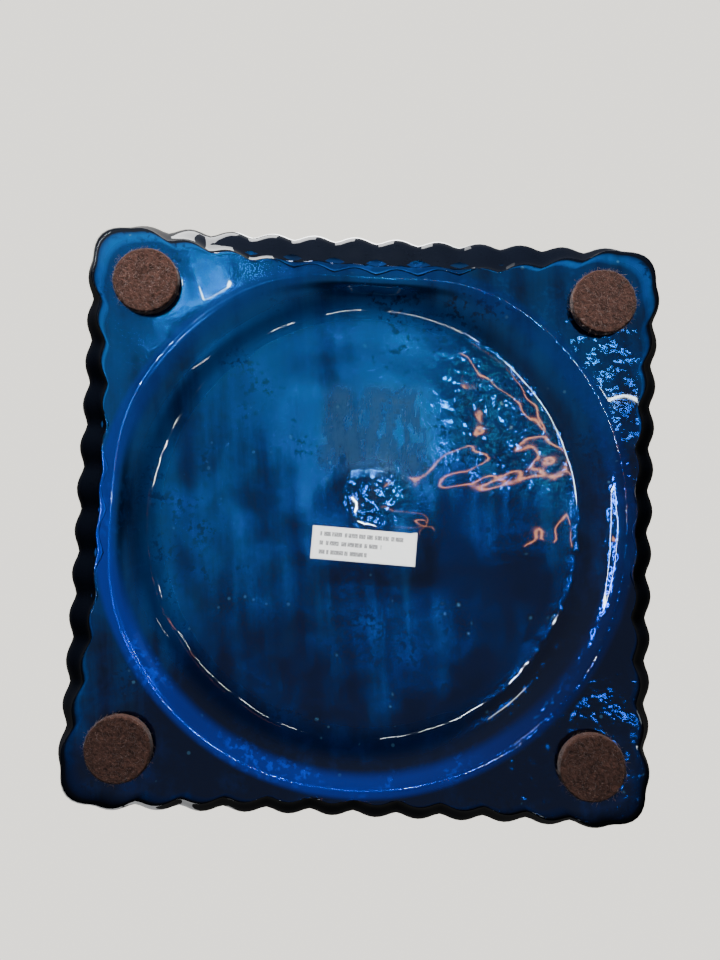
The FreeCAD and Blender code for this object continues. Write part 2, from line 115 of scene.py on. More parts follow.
# ---- settings
class GlassSettings(bpy.types.PropertyGroup):
    """Sizes of the blown glass that its maker would change."""

    flute_depth: FloatProperty(
        name="Flute depth", description="Height of a flute on the foot above its groove",
        default=1.75 * MM, unit="LENGTH")
    flutes: IntProperty(
        name="Flutes", description="Flutes along each side of the foot", default=12)
    corner: FloatProperty(
        name="Corner", description="Radius of the foot's corners",
        default=10.4 * MM, unit="LENGTH")
    recess: FloatProperty(
        name="Recess", description="Radius of the kick-up under the foot",
        default=79.0 * MM, unit="LENGTH")
    recess_floor: FloatProperty(
        name="Recess roof", description="Radius of the kick-up's domed roof",
        default=68.0 * MM, unit="LENGTH")
    recess_step: FloatProperty(
        name="Recess step", description="Rise from the underside to the domed roof's edge",
        default=6.5 * MM, unit="LENGTH")
    recess_dome: FloatProperty(
        name="Recess dome", description="Further rise to the middle of the roof",
        default=4.0 * MM, unit="LENGTH")
    wall: FloatProperty(
        name="Wall", description="Thickness of the blown glass",
        default=3.0 * MM, unit="LENGTH")
    waviness: FloatProperty(
        name="Waviness", description="Height of the slow waves in the blown surface",
        default=0.22 * MM, unit="LENGTH")
    gadroons: IntProperty(
        name="Gadroons", description="Swirled gadroons under the dish", default=20)
    gadroon_depth: FloatProperty(
        name="Gadroon depth", description="Height of a gadroon",
        default=3.0 * MM, unit="LENGTH")
    swirl: FloatProperty(
        name="Swirl", description="Turn of a gadroon from the neck to the lip",
        default=math.radians(34), subtype="ANGLE")
    knop_ribs: IntProperty(
        name="Knop ribs", description="Swirled ribs round the knop", default=12)
    knop: FloatProperty(
        name="Knop", description="Radius of the swirled knop",
        default=24.0 * MM, unit="LENGTH")
    waist: FloatProperty(
        name="Waist", description="Smallest radius of the stem",
        default=9.5 * MM, unit="LENGTH")
    bead: FloatProperty(
        name="Bead", description="Radius of the plain swellings of the stem",
        default=15.0 * MM, unit="LENGTH")


class FinishSettings(bpy.types.PropertyGroup):
    """Colours of the finishes."""

    cobalt: FloatVectorProperty(
        name="Cobalt", description="Silvered glass where the mirror is bright",
        default=(0.0, 0.047, 0.33), subtype="COLOR")
    deep: FloatVectorProperty(
        name="Deep blue", description="Silvered glass where the mirror is thin",
        default=(0.0, 0.007, 0.050), subtype="COLOR")
    haze: FloatVectorProperty(
        name="Haze", description="Steel-blue clouding of the mirror",
        default=(0.004, 0.17, 0.46), subtype="COLOR")
    # Painted highlight: this brighter blue stands in for light mirrored on the kick-up's
    # slope.
    rim: FloatVectorProperty(
        name="Rim", description="Silvered glass on the slope round the kick-up",
        default=(0.0, 0.055, 0.75), subtype="COLOR")
    thick: FloatVectorProperty(
        name="Thick glass", description="Thick unsilvered glass at the foot's edge",
        default=(0.0012, 0.0016, 0.0030), subtype="COLOR")
    felt: FloatVectorProperty(
        name="Felt", description="Pressed felt of the pads",
        default=(0.021, 0.0092, 0.0066), subtype="COLOR")
    paper: FloatVectorProperty(
        name="Paper", description="Paper of the label",
        default=(0.80, 0.80, 0.77), subtype="COLOR")
    backdrop: FloatVectorProperty(
        name="Backdrop", description="Pale surroundings",
        default=(0.62, 0.60, 0.55), subtype="COLOR")


def sizes_and_colours(context):
    """The scene's sizes and colours."""
    return context.scene.candlestick_glass, context.scene.candlestick_finish


# ---- shader maths
class Socket:
    """A shader value, on which Python's operators add Math nodes."""

    def __init__(self, tree, link):
        self.tree = tree
        self.link = link

    def math(self, operation, *others):
        node = self.tree.nodes.new("ShaderNodeMath")
        node.operation = operation
        for slot, item in zip(node.inputs, others):
            if isinstance(item, Socket):
                self.tree.links.new(item.link, slot)
            else:
                slot.default_value = item
        return Socket(self.tree, node.outputs[0])

    def __add__(self, other):
        return self.math("ADD", self, other)

    def __radd__(self, other):
        return self.math("ADD", other, self)

    def __sub__(self, other):
        return self.math("SUBTRACT", self, other)

    def __rsub__(self, other):
        return self.math("SUBTRACT", other, self)

    def __mul__(self, other):
        return self.math("MULTIPLY", self, other)

    def __rmul__(self, other):
        return self.math("MULTIPLY", other, self)

    def __pow__(self, other):
        return self.math("POWER", self, other)

    def absolute(self):
        return self.math("ABSOLUTE", self)

    def most(self, other):
        return self.math("MAXIMUM", self, other)


class Nodes:
    """A node tree, one method that adds any node, and the patterns made with it."""

    def __init__(self, tree, space):
        self.tree = tree
        self.place = self.node("TexCoord", out=space)

    def node(self, kind, settings=None, sockets=None, out=0):
        made = self.tree.nodes.new("ShaderNode" + kind)
        for name, value in (settings or {}).items():
            setattr(made, name, value)
        for name, value in (sockets or {}).items():
            if isinstance(value, Socket):
                self.tree.links.new(value.link, made.inputs[name])
            else:
                made.inputs[name].default_value = value
        return Socket(self.tree, made.outputs[out])

    def axis(self, name, vector=None):
        return self.node("SeparateXYZ", sockets={0: vector or self.place}, out=name)

    def mapped(self, scale=(1, 1, 1), turn=0.0, centre=(0, 0, 0)):
        """The piece's own coordinates about a centre, turned about Z and then stretched."""
        moved = self.node("VectorMath", {"operation": "SUBTRACT"}, {0: self.place, 1: centre})
        turned = self.node("Mapping", sockets={"Vector": moved, "Rotation": (0, 0, turn)})
        return self.node("VectorMath", {"operation": "MULTIPLY"}, {0: turned, 1: scale})

    def noise(self, scale, detail=2.0, rough=0.5, vector=None, distortion=0.0):
        return self.node("TexNoise", sockets={
            "Vector": vector or self.place, "Scale": scale, "Detail": detail,
            "Roughness": rough, "Distortion": distortion}, out="Fac")

    def cells(self, scale):
        """Distance from the middle of the nearest cell."""
        return self.node("TexVoronoi", sockets={
            "Vector": self.place, "Scale": scale}, out="Distance")

    def between(self, value, low, high, start=0.0, end=1.0):
        """value from low to high, eased to the range start to end."""
        return self.node("MapRange", {"interpolation_type": "SMOOTHSTEP", "clamp": True}, {
            "Value": value, "From Min": low, "From Max": high, "To Min": start, "To Max": end})

    def mix(self, factor, first, second):
        """A colour between two colours."""
        sockets = {0: factor}
        for slot, colour in ((6, first), (7, second)):
            sockets[slot] = colour if isinstance(colour, Socket) else (*colour, 1.0)
        return self.node("Mix", {"data_type": "RGBA"}, sockets, out=2)

    def bump(self, height, distance, strength=1.0):
        return self.node("Bump", sockets={
            "Height": height, "Distance": distance, "Strength": strength})

    def near(self, middle, reach, core):
        """1 within core of a place on the underside, fading to 0 at reach."""
        x, y = self.axis("X"), self.axis("Y")
        away = ((x - middle[0]) ** 2.0 + (y - middle[1]) ** 2.0) ** 0.5
        return self.between(away, reach, core)


class Finish(Nodes):
    """A material of one Principled shader."""

    def __init__(self, name):
        self.material = bpy.data.materials.new(name)
        self.material.use_nodes = True
        super().__init__(self.material.node_tree, "Object")
        self.shader = self.tree.nodes["Principled BSDF"]

    def set(self, **values):
        """Feeds the shader. An underscore in a name stands for a space."""
        for name, value in values.items():
            slot = self.shader.inputs[name.replace("_", " ")]
            if isinstance(value, Socket):
                self.tree.links.new(value.link, slot)
            elif slot.type == "RGBA":
                slot.default_value = (*value, 1.0)
            else:
                slot.default_value = value


# ---- shared shapes
def ease(value):
    """0 to 1 with level ends."""
    value = min(1.0, max(0.0, value))
    return value * value * (3 - 2 * value)


def through(points, share):
    """A smooth curve through rows of numbers whose first number runs from 0 to 1."""
    last = len(points) - 1
    i = 0
    while i < last - 1 and points[i + 1][0] < share:
        i += 1
    before = points[max(0, i - 1)]
    start = points[i]
    end = points[i + 1]
    after = points[min(last, i + 2)]
    span = end[0] - start[0]
    t = (share - start[0]) / span
    result = []
    for a, b, c, d in zip(before, start, end, after):
        enter = (c - a) * span / max(1e-9, end[0] - before[0])
        leave = (d - b) * span / max(1e-9, after[0] - start[0])
        h = t * t * (3 - 2 * t)
        result.append(
            b + (c - b) * h + enter * t * (1 - t) ** 2 - leave * t * t * (1 - t))
    return result


def steps(start, end, count):
    """Evenly spaced values from start to end, with both ends."""
    return [start + (end - start) * i / count for i in range(count + 1)]


def flute_height(phase):
    """Height of a flute, 0 in its groove to 1 on its broad crest."""
    softness = 0.3
    wave = math.hypot(math.sin(math.pi * phase), softness)
    return (wave - softness) / (math.hypot(1, softness) - softness)


def blown(rows, columns, locate, shade=None):
    """A closed glass wall: a grid bent round the centre line, with its seam and poles merged.

    locate(row, column) gives a place. shade(row) gives how much of a spot is thick glass.
    """
    bm = bmesh.new()
    bmesh.ops.create_grid(bm, x_segments=columns, y_segments=len(rows) - 1, size=1.0)
    dark = bm.verts.layers.float.new("thick_glass")
    for vert in bm.verts:
        column = round((vert.co.x + 1) / 2 * columns) % columns
        row = rows[round((vert.co.y + 1) / 2 * (len(rows) - 1))]
        vert.co = locate(row, column)
        vert[dark] = shade(row) if shade else 0.0
    bmesh.ops.remove_doubles(bm, verts=bm.verts, dist=1e-6)
    bmesh.ops.recalc_face_normals(bm, faces=bm.faces)
    return bm


def sink(bm, depth):
    """Moves every point inwards, by depth(place)."""
    bm.normal_update()
    moves = [(vert, vert.normal * -depth(vert.co)) for vert in bm.verts]
    for vert, move in moves:
        vert.co += move


def wave(bm, height, size, seed, freedom):
    """Sinks the surface by slow, uneven waves, as glass blown by hand has.

    freedom(place) is 0 where the surface stays even and 1 where it may wave.
    """
    offset = Vector((seed * 1.7, seed * 0.9, seed * 0.3))

    def depth(place):
        spot = place / size + offset
        slow = noise.noise(spot)
        quick = noise.noise(spot * 2.9 + offset) * 0.34
        fine = noise.noise(spot * 6.5) * 0.10
        return max(0.0, height * (slow + quick + fine + 0.9) * freedom(place))

    sink(bm, depth)


def piece_from(bm, name, material, smooth=True):
    """A finished object from a bmesh, at the origin."""
    mesh = bpy.data.meshes.new(name)
    bm.to_mesh(mesh)
    bm.free()
    for face in mesh.polygons:
        face.use_smooth = smooth
    mesh.materials.append(material)
    piece = bpy.data.objects.new(name, mesh)
    bpy.context.scene.collection.objects.link(piece)
    return piece


def finish_node(name, material):
    """Gives a CAD node a material."""
    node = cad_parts[name]
    node.data.materials.clear()
    node.data.materials.append(material)


# ---- the square foot
class Level(NamedTuple):
    """One level of the foot: a fluted square, a ring, or anything between them."""

    half: float              # half the square's width
    z: float
    ring: float = 0.0        # the ring's radius, or 0 for the same as half
    roundness: float = 0.0   # 0 is the square and 1 the ring
    fluting: float = 1.0     # share of a flute's full depth
    pinch: float = 0.0       # how far an even side is drawn in at its middle
    thick: float = 0.0       # how much of this is thick glass without a mirror
    tuck: float = 0.0        # how much the ring is drawn in beside the sides


def ring_level(radius, z, tuck=0.0):
    """A plain round level."""
    return Level(radius, z, roundness=1.0, fluting=0.0, tuck=tuck)


POINTS_PER_FLUTE = 8
POINTS_PER_CORNER = 8


class FootShape:
    """The square foot, column by column round its sides and level by level."""

    def __init__(self, glass):
        self.glass = glass
        self.half = (FOOT_HIGH.x - FOOT_LOW.x) / 2 - glass.flute_depth / 2
        self.quarter = glass.flutes * POINTS_PER_FLUTE + POINTS_PER_CORNER
        self.columns = 4 * self.quarter
        self.stations = [self.station(column) for column in range(self.columns)]

    def station(self, column):
        """(along, bend, flute height, share, side) of a column, in its own quarter turn."""
        side, i = divmod(column, self.quarter)
        straight = self.glass.flutes * POINTS_PER_FLUTE
        if i < straight:
            share = i / straight
            height = flute_height(share * self.glass.flutes)
            return 2 * share - 1, 0.0, height, 2 * share - 1, side
        bend = (i - straight) / POINTS_PER_CORNER * math.pi / 2
        return 1.0, bend, 0.4 * math.sin(2 * bend) ** 2, 1.0, side

    def place(self, level, column):
        along, bend, height, share, side = self.stations[column]
        turn = Matrix.Rotation(side * math.pi / 2, 2)
        corner = self.glass.corner * level.half / self.half
        reach = level.half - corner
        outward = Vector((math.cos(bend), math.sin(bend)))
        if bend:
            square = Vector((reach, reach)) + outward * corner
        else:
            square = Vector((level.half, reach * along))
        angle = math.atan2(square.y, square.x)
        out = self.glass.flute_depth * level.fluting * (height - 0.5)
        out -= level.pinch * EDGE_PULLS[side] * (1 - share * share)
        square += outward * out
        ring = (level.ring or level.half) * (1 - level.tuck * self.drawn_in(side, angle))
        circle = Vector((math.cos(angle), math.sin(angle))) * ring
        flat = turn @ square.lerp(circle, level.roundness)
        return Vector((flat.x, flat.y, level.z))

    def drawn_in(self, side, angle):
        """The share that the kick-up's rim is drawn in at an angle, with its slow wobble."""
        pulled = RIM_PULLS[side] * math.exp(-(angle / 0.36) ** 2)
        turned = angle + side * math.pi / 2
        wobble = noise.noise(Vector((math.cos(turned) * 2.2, math.sin(turned) * 2.2, 5.0)))
        return pulled + 0.007 * wobble

    def roof(self):
        """The domed roof of the kick-up and its wall, from the middle out to the rim."""
        glass = self.glass
        radii = steps(2 * MM, glass.recess_floor - 4 * MM, 30)
        radii += steps(glass.recess_floor - 3 * MM, rim_radius(glass) - 0.8 * MM, 16)
        return [
            ring_level(radius, kick_up(glass, radius), ease((radius - TUCK_FROM) / TUCK_REACH))
            for radius in [0.0] + radii]

    def land(self):
        """The flat underside, from the kick-up's rim out to the square edge."""
        edge = self.half - EDGE_ROUNDING
        rim = rim_radius(self.glass)
        return [
            Level(edge, UNDERSIDE, ring=rim, roundness=1 - share, fluting=ease(share * 1.2),
                  pinch=EDGE_PINCH * ease(share), thick=ease((share - 0.85) * 10), tuck=1.0)
            for share in (0.0, 0.1, 0.25, 0.4, 0.55, 0.7, 0.82, 0.9, 0.96)]

    def side(self):
        """The edge, the bevel and the upright fluted wall."""
        levels = []
        for share in (0.0, 0.015, 0.05, 0.10, 0.17, 0.26, 0.37, 0.5, 0.64, 0.8, 1.0):
            half = self.half - EDGE_ROUNDING * (1 - share) ** 2.2
            z = UNDERSIDE + BEVEL_HEIGHT * share
            levels.append(Level(half, z, pinch=EDGE_PINCH * (1 - ease(share)), thick=1.0))
        for share in steps(0.1, 1.0, 9):
            half = self.half - WALL_TAPER * share * share
            z = UNDERSIDE + BEVEL_HEIGHT + (WALL_HEIGHT - BEVEL_HEIGHT) * share
            levels.append(Level(half, z, thick=1 - ease((share - 0.1) * 2.6)))
        return levels

    def shoulder(self):
        """The upper side, from the wall up to the neck."""
        shape = (                                # height, width, roundness, fluting
            (0.00, 1.00, 0.00, 1.00), (0.12, 0.94, 0.04, 0.90), (0.20, 0.80, 0.16, 0.70),
            (0.28, 0.60, 0.38, 0.45), (0.38, 0.40, 0.66, 0.20), (0.50, 0.24, 0.88, 0.06),
            (0.64, 0.11, 1.00, 0.00), (0.80, 0.03, 1.00, 0.00), (1.00, 0.00, 1.00, 0.00),
        )
        bottom = UNDERSIDE + WALL_HEIGHT
        rise = FOOT_HIGH.z - bottom
        widest = self.half - WALL_TAPER
        levels = []
        for share in steps(0.02, 1.0, 44):
            height, width, roundness, fluting = through(shape, share)
            levels.append(Level(
                NECK + (widest - NECK) * width, bottom + rise * height,
                roundness=min(1.0, roundness), fluting=max(0.0, fluting)))
        return levels

    def outer(self):
        """The whole outer side, from the lower edge up to the neck."""
        return self.side() + self.shoulder()

    def inside(self, wall):
        """The hollow's wall, at a depth in the glass, from the neck to the roof's middle."""
        levels = [ring_level(NECK - CUT_EDGE, FOOT_HIGH.z)]
        for depth in (0.0, 0.4, 5.0, 11.0):
            levels.append(ring_level(NECK - wall, FOOT_HIGH.z - depth * MM))
        floor = UNDERSIDE + wall
        back = self.outer()[::-1]
        for i in range(6, len(back) - 1, 2):
            above, here, below = back[i - 1], back[i], back[i + 1]
            run = above.half - below.half
            rise = above.z - below.z
            length = math.hypot(run, rise)
            z = here.z + wall * run / length
            if floor + 3 * MM < z < FOOT_HIGH.z - BORE_DEPTH:
                half = here.half - wall * rise / length
                levels.append(Level(
                    half, z, roundness=here.roundness, fluting=0.0, pinch=here.pinch))
        edge = self.half - HOLLOW_MARGIN
        rim = self.glass.recess
        levels.append(Level(edge, floor, ring=rim, fluting=0.0, pinch=EDGE_PINCH / 2))
        levels.append(Level(edge, floor, ring=rim, roundness=1.0, fluting=0.0, tuck=1.0))
        for level in self.roof()[-4:0:-2]:
            radius = level.half - wall * 0.4 * (level.half > self.glass.recess_floor)
            levels.append(ring_level(radius, level.z + wall, level.tuck))
        levels.append(ring_level(0.0, levels[-1].z))
        return levels

    def build(self):
        levels = self.roof() + self.land() + self.outer() + self.inside(self.glass.wall)
        bm = blown(levels, self.columns, self.place, lambda level: level.thick)
        wave(bm, self.glass.waviness, size=34 * MM, seed=3, freedom=even_spots)
        return bm

    def film(self):
        """The mirror film that lines the hollow, as a closed thin layer."""
        near = self.inside(self.glass.wall)[1:]
        far = self.inside(self.glass.wall + FILM_THICKNESS)[1:]
        return blown(near[::-1] + far, self.columns, self.place)


def rim_radius(glass):
    """Where the kick-up's wall meets the flat underside."""
    return glass.recess + RIM_ROUNDING


def roof_level(glass, radius):
    """Height of the kick-up's domed roof, or of its wall, at a distance from the middle."""
    if radius <= glass.recess_floor:
        share = max(0.0, radius - CROWN) / (glass.recess_floor - CROWN)
        return UNDERSIDE + glass.recess_step + glass.recess_dome * (1 - share * share)
    share = (radius - glass.recess_floor) / (rim_radius(glass) - glass.recess_floor)
    return UNDERSIDE + glass.recess_step * (1 - ease(share))


def kick_up(glass, radius):
    """roof_level with its angles fire-polished away, as a mean over up to 5 mm each way."""
    if radius < glass.recess_floor - 12 * MM:
        return roof_level(glass, radius)
    reach = min(5.0 * MM, max(0.0, rim_radius(glass) - radius))
    return sum(roof_level(glass, radius + reach * i / 4) for i in range(-4, 5)) / 9


def even_spots(spot):
    """Freedom to wave: 0 at the foot's neck, under each pad and under the label."""
    clear = ease((FOOT_HIGH.z - 14 * MM - spot.z) / (12 * MM))
    if spot.z < UNDERSIDE + 3 * MM:
        for low, high in PADS.values():
            middle = (low + high) / 2
            reach = math.hypot(spot.x - middle.x, spot.y - middle.y)
            clear *= ease((reach - (high.x - low.x) / 2) / (5 * MM))
    if abs(spot.x) < 30 * MM and abs(spot.y) < 30 * MM and spot.z < UNDERSIDE + 12 * MM:
        past_x = max(0.0, LABEL_LOW.x - spot.x, spot.x - LABEL_HIGH.x)
        past_y = max(0.0, LABEL_LOW.y - spot.y, spot.y - LABEL_HIGH.y)
        clear *= ease(math.hypot(past_x, past_y) / (6 * MM))
    return clear


# ---- round glass
def ring_place(ribs, columns):
    """Places points of a round wall whose ribs swirl: rows are (radius, z, depth, turn)."""
    def place(row, column):
        radius, z, depth, turn = row
        share = column / columns
        angle = share * 2 * math.pi + turn
        out = radius + depth * (flute_height(share * ribs) - 0.5)
        return Vector((out * math.cos(angle), out * math.sin(angle), z))
    return place


def round_glass(name, rows, ribs, columns, finish, **waves):
    """A finished round piece: its rows turned about the centre line, with blown waves."""
    bm = blown(rows, columns, ring_place(ribs, columns))
    wave(bm, **waves)
    return piece_from(bm, name, finish)


def between_joints(low, high, fade):
    """Freedom to wave: 0 beyond two levels, where round glass meets its joints."""
    return lambda spot: ease(min(spot.z - low, high - spot.z) / fade)


def stem_rows(glass):
    """The stem's wall: up the outside, over the upper spigot and down the bore."""
    waist = glass.waist
    bead = glass.bead
    collar = waist + 3.5 * MM
    swell = glass.knop - waist
    half = (                                     # share, radius, ribbing
        (0.000, NECK, 0.0), (0.012, NECK + 0.1 * MM, 0.0),
        (0.024, NECK - 0.9 * MM, 0.0), (0.050, waist + 1.8 * MM, 0.0),
        (0.085, waist, 0.0), (0.125, waist + 1.4 * MM, 0.0),
        (0.162, bead - 0.5 * MM, 0.0), (0.195, bead, 0.0),
        (0.230, bead - 1.6 * MM, 0.0), (0.275, waist + 1.0 * MM, 0.0),
        (0.315, waist, 0.0), (0.345, waist + 1.2 * MM, 0.0),
        (0.362, collar, 0.0), (0.378, collar - 0.2 * MM, 0.0),
        (0.384, collar - 1.4 * MM, 0.1), (0.405, waist + swell * 0.52, 0.65),
        (0.445, waist + swell * 0.88, 1.0), (0.500, glass.knop, 1.0),
    )
    full = list(half) + [(1 - s, r, b) for s, r, b in reversed(half[:-1])]
    bottom = CEMENT_HIGH.z
    top = TOP_CEMENT_LOW.z
    spigot = NECK - glass.wall - SPIGOT_PLAY
    bore = spigot - glass.wall
    rows = [(bore, STEM_LOW.z, 0, 0), (spigot - CUT_EDGE, STEM_LOW.z, 0, 0)]
    rows += [(spigot, STEM_LOW.z + CUT_EDGE, 0, 0), (spigot, bottom, 0, 0)]
    for share in steps(0.0, 1.0, 170):
        _, radius, ribbing = through(full, share)
        depth = 1.4 * MM * max(0.0, ribbing)
        turn = math.radians(40) * max(-1.0, min(1.0, (share - 0.5) / 0.25))
        rows.append((radius, bottom + (top - bottom) * share, depth, turn))
    rows += [(spigot, top, 0, 0), (spigot, STEM_HIGH.z - CUT_EDGE, 0, 0)]
    rows += [(spigot - CUT_EDGE, STEM_HIGH.z, 0, 0), (bore, STEM_HIGH.z, 0, 0)]
    for share in steps(0.97, 0.03, 40):
        _, radius, _ = through(full, share)
        inner = min(radius - glass.wall, glass.waist + 4 * MM)
        rows.append((inner, bottom + (top - bottom) * share, 0, 0))
    rows.append(rows[0])
    return rows


def dish_rows(glass):
    """The dish's wall: the bowl, over the lip, the gadrooned underside, and the hollow."""
    lip = 2.6 * MM
    swell = 0.35 * MM
    bead = lip + swell
    outer = DISH_HIGH.x - swell
    lip_level = DISH_HIGH.z - bead
    ring = outer - lip
    seat = 45 * MM
    floor = lip_level - 15 * MM
    mouth = ring - lip
    bottom = TOP_CEMENT_LOW.z + 0.5 * MM
    height = lip_level - bottom
    under = (                                    # rise, width, ribbing
        (0.00, 0.00, 0.00), (0.12, 0.00, 0.00), (0.22, 0.05, 0.15), (0.31, 0.20, 0.60),
        (0.40, 0.42, 0.95), (0.50, 0.64, 1.00), (0.62, 0.82, 0.75), (0.74, 0.92, 0.15),
        (0.86, 0.97, 0.00), (1.00, 1.00, 0.00),
    )
    rows = [(0.0, floor, 0, 0)]
    rows += [(seat * share, floor, 0, 0) for share in steps(0.06, 0.94, 16)]
    bowl = (
        (0.0, seat - 2.0 * MM, floor),
        (0.22, seat + 0.6 * MM, floor + 0.5 * MM),
        (0.5, mouth - 4.4 * MM, floor + 4.0 * MM),
        (0.75, mouth - 1.4 * MM, floor + 9.0 * MM),
        (1.0, mouth - 0.15 * MM, lip_level - 0.6 * MM),
    )
    for share in steps(0.05, 1.0, 18):
        _, radius, z = through(bowl, share)
        rows.append((radius, z, 0, glass.swirl))
    for angle in steps(170, 10, 14):
        bend = math.radians(angle)
        rows.append((ring + bead * math.cos(bend), lip_level + bead * math.sin(bend), 0,
                     glass.swirl))
    for share in steps(0.985, 0.0, 74):
        rise, width, ribbing = through(under, share)
        depth = glass.gadroon_depth * max(0.0, ribbing)
        radius = NECK + (outer - NECK) * width
        rows.append((radius, bottom + height * rise, depth, glass.swirl * width))
    bore = NECK - glass.wall
    rows += [(NECK - CUT_EDGE, bottom, 0, 0), (bore, bottom, 0, 0)]
    rows.append((bore, bottom + 11 * MM, 0, 0))
    for share in steps(0.30, 0.78, 14):
        rise, width, _ = through(under, share)
        radius = NECK + (outer - NECK) * width - glass.wall * 0.7
        rows.append((radius, bottom + height * rise + glass.wall * 0.8, 0, 0))
    rows += [(seat, floor - glass.wall, 0, 0), (seat * 0.5, floor - glass.wall, 0, 0)]
    rows.append((0.0, floor - glass.wall, 0, 0))
    return rows


# ---- glass and mirror finishes
def silvered_glass(name, colours, glass, under_foot=False):
    """Cobalt glass with its mirror showing through, under a clear outer surface.

    under_foot adds what only the foot has: a painted highlight along the kick-up's rim,
    painted shade round the edge of its roof, its worn patch and the thick unsilvered glass of
    the edge.
    """
    made = Finish(name)
    x, y = made.axis("X"), made.axis("Y")
    radius = (x * x + y * y) ** 0.5

    # Clouds, streaks and dark spotting of the mirror, with painted shade that darkens it and
    # thins its haze towards +X and +Y.
    clouds = made.noise(24.0, 5.0, 0.58, distortion=0.3)
    fine = made.noise(95.0, 6.0, 0.66, distortion=0.4)
    streaks = made.noise(1.0, 4.0, 0.6, made.mapped(scale=(150.0, 16.0, 30.0), turn=0.1))
    spotting = made.noise(520.0, 3.0, 0.6)
    # Painted shade: this ramp darkens the mirror and thins its haze towards +X and +Y.
    side = made.between(0.55 * x + y, -0.085, 0.075)
    mottle_and_shade = clouds * 0.50 + fine * 0.36 + streaks * 0.22 - side * 0.20 + 0.04
    base = made.mix(made.between(mottle_and_shade, 0.36, 0.66), colours.deep, colours.cobalt)
    haze_and_shade = made.between(clouds * 0.6 + streaks * 0.45 - side * 0.34, 0.24, 0.58)
    base = made.mix(haze_and_shade * 0.55, base, colours.haze)
    patchy = made.between(fine * 0.6 + made.noise(38.0, 3.0) * 0.6, 0.60, 0.72)
    speckled = patchy * made.between(spotting, 0.50, 0.60) * 0.75
    base = made.mix(speckled, base, [c * 0.30 for c in colours.deep])

    # Seeds: tiny pale bubbles, mostly alone.
    seeds = made.cells(260.0)
    chosen = made.noise(130.0, 0.0)
    bubbles = made.between(seeds, 0.17, 0.10) * made.between(chosen, 0.64, 0.68)
    base = made.mix(bubbles * 0.5, base, (0.10, 0.30, 0.50))

    rough = 0.13 + clouds * 0.10 + made.between(fine, 0.5, 0.8) * 0.10
    metal = 1.0 - speckled * 0.25
    crinkle = made.between(made.noise(17.0, 2.0), 0.50, 0.62)
    coat = None
    if under_foot:
        z = made.axis("Z")
        low = made.between(z, UNDERSIDE + 14 * MM, UNDERSIDE + 12 * MM)
        # Painted highlight: a brighter blue band on the kick-up's slope, strongest towards -X
        # and +Y, in place of light mirrored there.
        rim = made.between(radius, glass.recess - 6 * MM, glass.recess - 3 * MM)
        rim *= made.between(radius, glass.recess + 2.5 * MM, glass.recess + 0.5 * MM)
        highlight_side = made.between(y - x * 0.9, -0.02, 0.10)
        bright = rim * low * (0.18 + 0.82 * highlight_side) * (0.55 + clouds * 0.8)
        base = made.mix(bright * 0.85, base, colours.rim)
        # Painted shade: a darker ring where the roof meets the kick-up's wall.
        shade = made.between(radius, glass.recess_floor - 9 * MM, glass.recess_floor)
        shade *= made.between(radius, glass.recess_floor + 5 * MM, glass.recess_floor)
        base = made.mix(shade * low * 0.6, base, [c * 0.6 for c in colours.deep])
        dulled = shade * low * made.between(x, 0.050, 0.022)
        rough = rough + dulled * 0.30

        # The patch that an old sticker left.
        patch = made.between((x - STICKER[0]).absolute(), 0.020, 0.012)
        patch *= made.between((y - STICKER[1]).absolute(), 0.017, 0.009)
        tracks = made.noise(1.0, 4.0, 0.7, made.mapped(scale=(330.0, 90.0, 90.0)))
        worn = patch * low * made.between(tracks + fine * 0.5, 0.60, 0.84)
        base = made.mix(worn * 0.55, base, (0.07, 0.21, 0.42))
        rough = rough + worn * 0.25

        # Crinkled places: by the pontil scar, over the far shoulder and along one rim.
        slope = made.between(radius, 0.060, 0.068) * made.between(x, 0.020, 0.045)
        crinkle = made.near(SCAR, 0.015, 0.007).most(made.near(SHOULDER, 0.042, 0.020))
        crinkle = crinkle.most(slope)
        rough = rough * (1.0 - crinkle * 0.62)

        # The thick edge, which has no mirror and gleams only at the front left.
        thick = made.node("Attribute", {"attribute_name": "thick_glass"}, out="Fac")
        smoke = made.noise(60.0, 3.0)
        dark = made.mix(smoke * 0.5, colours.thick, [c * 2.2 for c in colours.thick])
        base = made.mix(thick, base, dark)
        metal = metal * (1.0 - thick)
        rough = rough * (1.0 - thick) + thick * (0.05 + smoke * 0.05)
        sheen = made.between(y, -0.070, -0.076) * made.between(x, 0.045, 0.005)
        coat = 0.74 - thick * (0.67 - sheen * 0.95) - dulled * 0.55

    ripple = made.noise(210.0, 2.0, 0.5)
    surface = ripple * (0.10 + crinkle * 0.90) + fine * 0.16
    made.set(
        Base_Color=base, Metallic=metal, Roughness=rough,
        Normal=made.bump(surface, 0.00028, 1.0), Coat_Roughness=0.02, Coat_IOR=1.5,
        Coat_Weight=coat or 1.0, Specular_IOR_Level=0.0)
    return made.material


def silvering_finish():
    """The mirror layer on the inner wall, under its grey backing lacquer."""
    made = Finish("mottled_silvering")
    clouds = made.noise(40.0, 5.0, 0.6)
    pores = made.cells(900.0)
    base = made.mix(clouds, (0.42, 0.45, 0.50), (0.80, 0.82, 0.84))
    base = made.mix(made.between(pores, 0.22, 0.08) * 0.7, base, (0.10, 0.11, 0.13))
    made.set(
        Base_Color=base, Metallic=1.0, Roughness=0.12 + clouds * 0.3,
        Normal=made.bump(made.noise(260.0, 4.0), 0.0001))
    return made.material


def cement_finish():
    """Clear cement that has yellowed a little, with trapped bubbles."""
    made = Finish("clear_cement")
    cloud = made.noise(120.0, 4.0, 0.6)
    bubbles = made.between(made.cells(700.0), 0.24, 0.12)
    base = made.mix(cloud, (0.030, 0.075, 0.16), (0.11, 0.17, 0.23))
    base = made.mix(bubbles * 0.5, base, (0.45, 0.50, 0.52))
    made.set(
        Base_Color=base, Roughness=0.16 + cloud * 0.24, IOR=1.5,
        Normal=made.bump(cloud + bubbles * 0.4, 0.0002))
    return made.material


